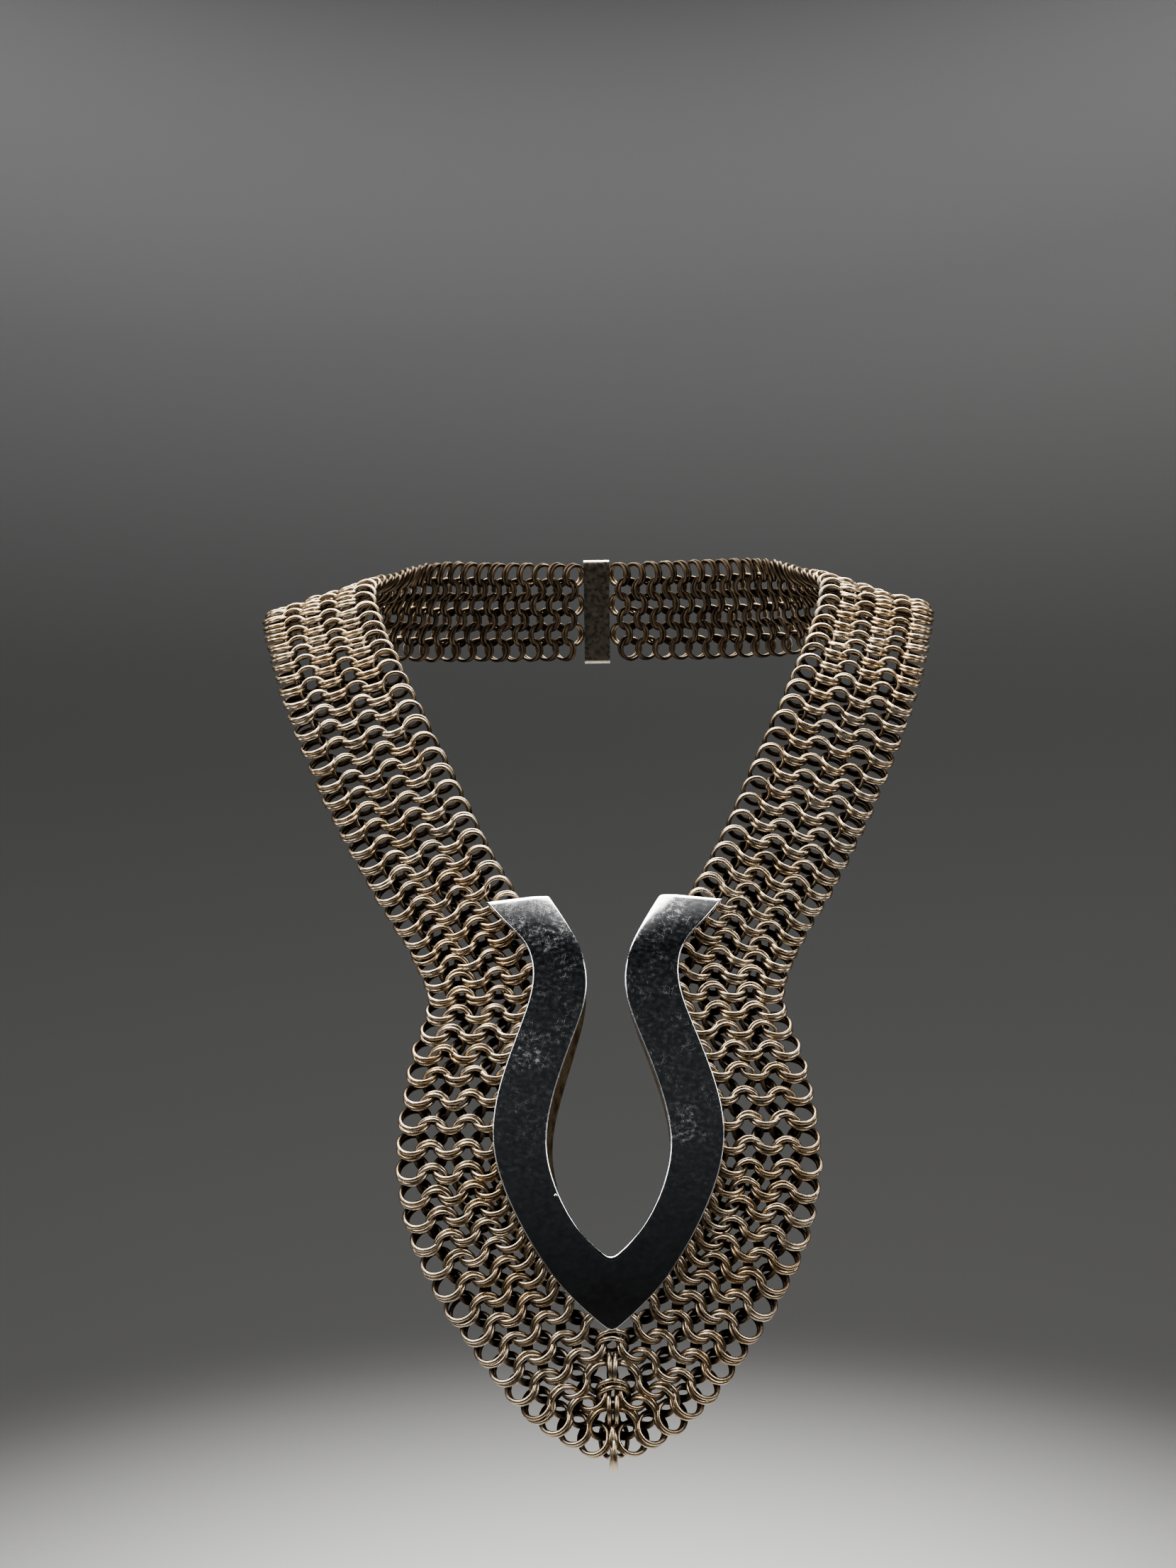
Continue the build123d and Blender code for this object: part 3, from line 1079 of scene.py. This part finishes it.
@dataclass(frozen=True)
class Scratches:
    """A node group that draws short fine scratches lying roughly one way."""

    settings: tuple[str, ...] = ("Turn", "Length", "Width", "Amount")
    waves: float = 0.11
    swing: float = 1.4
    shuffle: float = 37.0
    faintness: float = 1.6

    def group(self) -> bpy.types.NodeTree:
        """Makes the group.

        Returns:
            The group, with the inputs Vector and settings and the output Mask.
        """
        group = bpy.data.node_groups.new("fine scratches", "ShaderNodeTree")
        group.interface.new_socket("Vector", in_out="INPUT", socket_type="NodeSocketVector")
        for name in self.settings:
            group.interface.new_socket(name, in_out="INPUT", socket_type="NodeSocketFloat")
        group.interface.new_socket("Mask", in_out="OUTPUT", socket_type="NodeSocketFloat")
        sheet = NodeSheet(group)
        given = group.nodes.new("NodeGroupInput").outputs
        turn = {"Vector": given["Vector"], "Angle": given["Turn"]}
        turned = sheet.add("VectorRotate", turn, rotation_type="Z_AXIS")
        wave = sheet.add("TexNoise", {"Vector": turned, "Scale": self.waves}, "Color")
        swing = {0: wave, 1: (self.swing,) * 3, 2: turned}
        along, across, _ = sheet.split(sheet.add("VectorMath", swing, operation="MULTIPLY_ADD"))
        lane = sheet.math("DIVIDE", across, given["Width"])
        number = sheet.math("FLOOR", lane)
        shift = sheet.add("TexWhiteNoise", {"W": number}, noise_dimensions="1D")
        run = sheet.math("DIVIDE", along, given["Length"])
        run = sheet.plus(run, sheet.times(shift, self.shuffle))
        cell = sheet.coords(sheet.math("FLOOR", run), number)
        chance = sheet.add("TexWhiteNoise", {"Vector": cell}, noise_dimensions="3D")
        drawn = sheet.math("LESS_THAN", chance, given["Amount"])
        force = sheet.split(chance.node.outputs["Color"])[1]
        force = sheet.math("POWER", force, self.faintness)
        taper, line = (
            sheet.span(self.off_middle(sheet, value), *ends)
            for value, ends in ((run, (0.48, 0.15)), (lane, (0.42, 0.05)))
        )
        strength = sheet.times(sheet.times(taper, line), sheet.times(drawn, force))
        sheet.join(strength, group.nodes.new("NodeGroupOutput").inputs["Mask"])
        return group

    @staticmethod
    def off_middle(sheet: NodeSheet, value: Socket) -> Socket:
        """How far a value lies from the middle of its whole step."""
        return sheet.math("ABSOLUTE", sheet.minus(sheet.math("FRACT", value), 0.5))


@dataclass(frozen=True)
class PlateFinish:
    """Mirror polish with a haze of fine scratches, densest on the arms.

    Coordinates are millimetres across and up the plate. A rub is a spot and its radius. A
    layer of scratches has a turn in radians, a length, a width and an amount.
    """

    metal: Triple = (0.80, 0.81, 0.83)
    grimy: Triple = (0.70, 0.70, 0.70)
    mirror: float = 0.08
    scratched: float = 0.27
    hazed: float = 0.26
    film: float = 0.07
    arm_heights: Pair = (8.0, 70.0)
    top_heights: Pair = (98.0, 112.0)
    top_wear: float = 0.05
    smear_scale: Triple = (0.85, 1.15, 1.0)
    smear_turn: float = 0.3
    rubs: tuple[Triple, ...] = ((-21.4, 71.0, 9.0), (19.5, 50.0, 9.0), (-17.5, 101.0, 7.0))
    layers: tuple[tuple[float, ...], ...] = (
        (0.40, 2.6, 0.12, 0.100),
        (0.95, 1.1, 0.13, 0.120),
        (1.40, 1.8, 0.11, 0.130),
        (1.95, 4.2, 0.12, 0.090),
        (2.50, 0.7, 0.14, 0.120),
        (2.85, 1.6, 0.11, 0.110),
        (1.72, 9.0, 0.14, 0.030),
    )

    def scratches(self, sheet: NodeSheet, coords: Socket) -> Socket:
        """Draws every layer of scratches.

        Args:
            sheet: Where the nodes are added.
            coords: Millimetres across and up.

        Returns:
            A mask of all layers together.
        """
        kind = Scratches()
        group = kind.group()
        total: object = 0.0
        for layer in self.layers:
            node = sheet.tree.nodes.new("ShaderNodeGroup")
            node.node_tree = group
            for name, value in zip(("Vector", *kind.settings), (coords, *layer)):
                sheet.join(value, node.inputs[name])
            total = sheet.most(node.outputs["Mask"], total)
        return total

    def material(self) -> bpy.types.Material:
        """Makes the material.

        Returns:
            The material.
        """
        sheet = Surface.new("polished_plate")
        coords = sheet.unrolled("plate")
        scratches = self.scratches(sheet, coords)
        up = sheet.split(coords)[1]
        arms = sheet.span(up, *self.arm_heights, 0.22, 1.0)
        rubbed: object = 0.0
        for across, height, radius in self.rubs:
            away = sheet.distance(coords, (across, height, 0.0))
            rubbed = sheet.most(sheet.span(away, radius, 1.0), rubbed)
        patches = sheet.span(sheet.noise(coords, 0.13, 3.0), 0.38, 0.64, 0.38, 1.0)
        patches = sheet.plus(patches, sheet.times(rubbed, 0.45))
        marks = sheet.times(scratches, sheet.times(arms, patches), clamp=True)
        specks = sheet.times(sheet.span(sheet.noise(coords, 3.2), 0.66, 0.74), arms)
        marks = sheet.most(marks, sheet.times(specks, 0.75))
        turn = (0.0, 0.0, self.smear_turn)
        smear = {"Vector": coords, "Scale": self.smear_scale, "Rotation": turn}
        cloud = sheet.noise(sheet.add("Mapping", smear), 0.75, 14.0)
        haze = sheet.plus(0.85, sheet.times(rubbed, 0.5))
        haze = sheet.times(sheet.times(sheet.span(cloud, 0.34, 0.84), arms), haze)
        rough = sheet.plus(self.mirror, sheet.span(up, *self.top_heights, 0.0, self.top_wear))
        rough = sheet.plus(rough, sheet.times(marks, self.scratched))
        rough = sheet.plus(rough, sheet.times(sheet.times(haze, patches), self.hazed))
        film = sheet.plus(sheet.times(haze, self.film), sheet.times(marks, self.film * 0.6))
        grime = sheet.span(sheet.noise(coords, 0.35, 5.0), 0.35, 0.75)
        sheet.roughen(marks, 0.25, 0.00002)
        sheet.give(
            Base_Color=sheet.mix(grime, self.metal, self.grimy),
            Roughness=rough,
            Metallic=sheet.minus(1.0, film, clamp=True),
        )
        return sheet.material


@dataclass(frozen=True)
class WallFinish:
    """Unpolished wall metal, tarnished golden brown."""

    bright: Triple = (0.46, 0.34, 0.19)
    brown: Triple = (0.17, 0.105, 0.055)
    stains: float = 320.0
    grain: float = 1500.0

    def material(self) -> bpy.types.Material:
        """Makes the material.

        Returns:
            The material.
        """
        sheet = Surface.new("tarnished_wall")
        place = sheet.place()
        stain = sheet.span(sheet.noise(place, self.stains, 5.0), 0.34, 0.66)
        rough = sheet.plus(0.30, sheet.times(stain, 0.18))
        sheet.roughen(sheet.noise(place, self.grain, 3.0), 0.4, 0.00006)
        colour = sheet.mix(stain, self.bright, self.brown)
        sheet.give(Base_Color=colour, Roughness=rough, Metallic=1.0)
        return sheet.material


@dataclass(frozen=True)
class ClaspFinish:
    """Plain satin metal of the clasp."""

    metal: Triple = (0.62, 0.57, 0.48)
    darker_mottle: Triple = (0.50, 0.43, 0.33)
    grain: float = 700.0

    def material(self) -> bpy.types.Material:
        """Makes the material.

        Returns:
            The material.
        """
        sheet = Surface.new("clasp_metal")
        grain = sheet.noise(sheet.place(), self.grain, 3.0)
        rough = sheet.span(grain, 0.3, 0.75, 0.24, 0.40)
        # Mixes in a darker colour by noise.
        colour = sheet.mix(sheet.span(grain, 0.4, 0.8), self.metal, self.darker_mottle)
        sheet.give(Base_Color=colour, Roughness=rough, Metallic=1.0)
        return sheet.material


@dataclass(frozen=True)
class Lamp:
    """One soft rectangular light."""

    name: str
    place: Triple
    size: Pair
    power: float
    aim: Triple = (0.0, -0.08, -0.12)
    colour: Triple = (1.0, 1.0, 1.0)

    def hang(self) -> None:
        """Adds the light to the scene."""
        data = bpy.data.lights.new(self.name, "AREA")
        data.shape = "RECTANGLE"
        data.size, data.size_y = self.size
        data.energy = self.power
        data.color = self.colour
        lamp = new_object(self.name, data)
        lamp.location = self.place
        way = Vector(self.aim) - Vector(self.place)
        lamp.rotation_euler = way.to_track_quat("-Z", "Y").to_euler()


LAMPS = (
    Lamp("key", (-0.06, 0.04, 0.56), (1.10, 0.44), 8.0, colour=(1.0, 0.98, 0.94)),
    Lamp("left_fill", (-0.46, -0.50, 0.34), (0.22, 0.26), 1.1),
    Lamp("right_fill", (0.50, -0.50, 0.34), (0.22, 0.26), 1.1),
    Lamp("left_edge", (-0.80, -0.10, 0.05), (0.12, 0.50), 0.8),
    Lamp("right_edge", (0.80, -0.10, 0.05), (0.12, 0.50), 0.8),
    Lamp("front_left", (-0.62, -0.84, 0.04), (0.72, 0.56), 0.45, colour=(1.0, 0.97, 0.93)),
    Lamp("front_right", (0.62, -0.84, 0.04), (0.72, 0.56), 0.45, colour=(1.0, 0.97, 0.93)),
    Lamp("back_wash", (0.0, 0.42, 0.80), (1.2, 0.5), 8.0, aim=(0.0, 0.50, -0.44)),
)


@dataclass
class Studio:
    """A pale floor that curves up into a grey wall, with lights and the camera.

    The floor's pale colour is a painted pool of light under the necklace that falls off to the
    walls' grey. The wall behind the necklace is painted in shade, darker low and paler high,
    and so is the darker wall in front of it, which the plate mirrors. Reaches are distances, in
    metres, over which one tone turns into another.
    """

    camera_place: Triple = (-0.0040, -0.540, -0.055)
    lens: float = 38.8
    roll: float = -0.8
    floor_level: float = -0.44
    floor_radius: float = 0.60
    cove: float = 0.50
    wall_top: float = 1.15
    hub: float = 0.001
    cove_steps: int = 16
    round_steps: int = 96
    floor_tone: Triple = (0.72, 0.72, 0.72)
    back_low: Triple = (0.115, 0.115, 0.115)
    back_high: Triple = (0.30, 0.30, 0.30)
    front_low: Triple = (0.040, 0.040, 0.041)
    front_high: Triple = (0.165, 0.180, 0.194)
    light_pool_reach: Pair = (0.12, 0.68)
    behind_reach: Pair = (-0.30, 0.35)
    back_reach: Pair = (-0.05, 0.75)
    front_reach: Pair = (0.26, 0.66)
    dim: Triple = (0.026, 0.029, 0.032)
    overhead: Triple = (0.26, 0.26, 0.26)
    overhead_from: float = 0.85

    def paper(self) -> bpy.types.Material:
        """Makes the floor's and the walls' material.

        Returns:
            The material.
        """
        sheet = Surface.new("studio_paper")
        right, back, up = sheet.split(sheet.place())
        away = sheet.distance(sheet.coords(right, back))
        # Painted light: walls darker low and paler high, the floor a pale painted pool of light.
        behind = sheet.mix(sheet.span(up, *self.back_reach), self.back_low, self.back_high)
        before = sheet.mix(sheet.span(up, *self.front_reach), self.front_low, self.front_high)
        wall = sheet.mix(sheet.span(back, *self.behind_reach), before, behind)
        colour = sheet.mix(sheet.span(away, *self.light_pool_reach), self.floor_tone, wall)
        sheet.give(Base_Color=colour, Roughness=0.95, Specular_IOR_Level=0.1)
        return sheet.material

    def room(self) -> None:
        """Turns the floor and wall from one profile."""
        mesh = bmesh.new()
        start = mesh.verts.new((self.hub, 0.0, self.floor_level))
        edge = mesh.verts.new((self.floor_radius, 0.0, self.floor_level))
        mesh.edges.new((start, edge))
        middle = (self.floor_radius, 0.0, self.floor_level + self.cove)
        curve = bmesh.ops.spin(
            mesh, geom=[edge], axis=(0, -1, 0), cent=middle,
            angle=math.pi / 2, steps=self.cove_steps,
        )
        last = [item for item in curve["geom_last"] if isinstance(item, bmesh.types.BMVert)]
        for vert in bmesh.ops.extrude_vert_indiv(mesh, verts=last)["verts"]:
            vert.co.z = self.wall_top
        bmesh.ops.spin(
            mesh, geom=mesh.verts[:] + mesh.edges[:], axis=(0, 0, 1), cent=(0, 0, 0),
            angle=math.tau, steps=self.round_steps, use_merge=True,
        )
        bmesh.ops.remove_doubles(mesh, verts=mesh.verts[:], dist=2 * self.hub)
        bmesh.ops.recalc_face_normals(mesh, faces=mesh.faces[:])
        data = bpy.data.meshes.new("studio_floor")
        mesh.to_mesh(data)
        mesh.free()
        data.shade_smooth()
        data.materials.append(self.paper())
        piece = new_object("studio_floor", data)

    def camera(self) -> None:
        """Adds the camera, level and facing the bib."""
        data = bpy.data.cameras.new("camera")
        data.lens = self.lens
        data.clip_start = 0.01
        camera = new_object("camera", data)
        level = Matrix.Rotation(math.pi / 2, 4, "X")
        turn = Matrix.Rotation(math.radians(self.roll), 4, "Z")
        camera.matrix_world = Matrix.Translation(self.camera_place) @ level @ turn
        bpy.context.scene.camera = camera

    def world(self) -> None:
        """Sets a dim surround that grows paler overhead."""
        world = bpy.data.worlds.new("surround")
        world.use_nodes = True
        sheet = NodeSheet(world.node_tree)
        way = sheet.add("TexCoord", {}, "Generated")
        share = sheet.span(sheet.split(way)[2], self.overhead_from, 1.0)
        colour = sheet.mix(share, self.dim, self.overhead)
        sheet.join(colour, world.node_tree.nodes["Background"].inputs["Color"])
        bpy.context.scene.world = world
        bpy.context.scene.view_settings.look = "AgX - High Contrast"

    def make(self) -> None:
        """Builds the whole studio."""
        self.camera()
        self.world()
        self.room()
        for lamp in LAMPS:
            lamp.hang()


def main() -> None:
    """Builds the necklace and its studio."""
    logging.basicConfig(level=logging.INFO, format="%(name)s: %(message)s")
    Studio().make()
    RingMesh().make(WireFinish())
    Pendant().make(PlateFinish(), WallFinish())
    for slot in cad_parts["clasp"].material_slots:
        slot.material = ClaspFinish().material()


if __name__ == "__main__":
    main()
